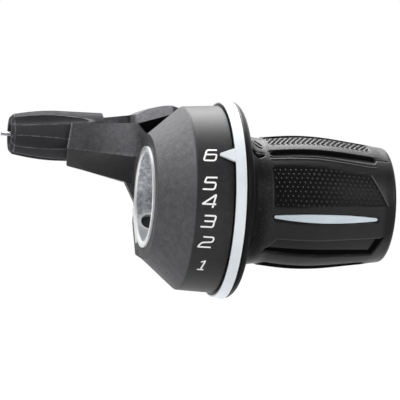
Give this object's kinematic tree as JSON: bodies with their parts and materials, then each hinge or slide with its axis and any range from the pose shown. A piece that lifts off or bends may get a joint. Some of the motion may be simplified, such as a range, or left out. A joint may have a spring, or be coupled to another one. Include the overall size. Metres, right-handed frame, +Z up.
{
  "type": "twist grip shifter",
  "caption": "Twist grip bicycle gear shifter with a ribbed rubber grip, white pointer ring, numbered housing, fluted barrel adjuster and a bore for a 22.2 mm handlebar.",
  "frame": {"origin": "centre of the handlebar bore on the housing's inboard end face", "axes": "+X along the handlebar towards the grip's free end, +Z up, -Y towards the gear numbers"},
  "size_m": [0.0955, 0.0498, 0.0498],
  "materials": {
    "housing_plastic": "fine moulded grain",
    "insert_alloy": "satin, bright rim",
    "screw_steel": "black oxide",
    "wire_steel": "bright strands",
    "head_metal": "as cast",
    "core_plastic": "smooth",
    "grip_rubber": "soft matt",
    "ring_plastic": "semi-gloss",
    "stripe_plastic": "satin",
    "panel_plastic": "gloss",
    "spring_steel": "plain",
    "adjuster_plastic": "smooth moulded",
    "retainer_plastic": "smooth"
  },
  "bodies": {
    "housing": {"housing": "housing_plastic", "clamp_insert": "insert_alloy", "clamp_screw": "screw_steel", "shift_cable": "wire_steel", "grip_retainer": "retainer_plastic"},
    "grip": {"grip_core": "core_plastic", "grip_rubber": "grip_rubber", "indicator_ring": "ring_plastic", "grip_stripe": "stripe_plastic", "badge_panel": "panel_plastic", "detent_spring": "spring_steel", "cable_head": "head_metal"},
    "adjuster": {"barrel_adjuster": "adjuster_plastic"}
  },
  "joints": [
    {"name": "grip_twist", "type": "hinge", "parent": "housing", "child": "grip", "pos_m": [0, 0, 0], "axis": [1, 0, 0], "range_deg": [0, 71.5], "deforming": ["detent_spring", "shift_cable"]},
    {"name": "adjuster_turn", "type": "hinge", "parent": "housing", "child": "adjuster", "pos_m": [0, 0.0146, 0.0146], "axis": [-1, 0, 0], "range_deg": [0, 1080]}
  ]
}
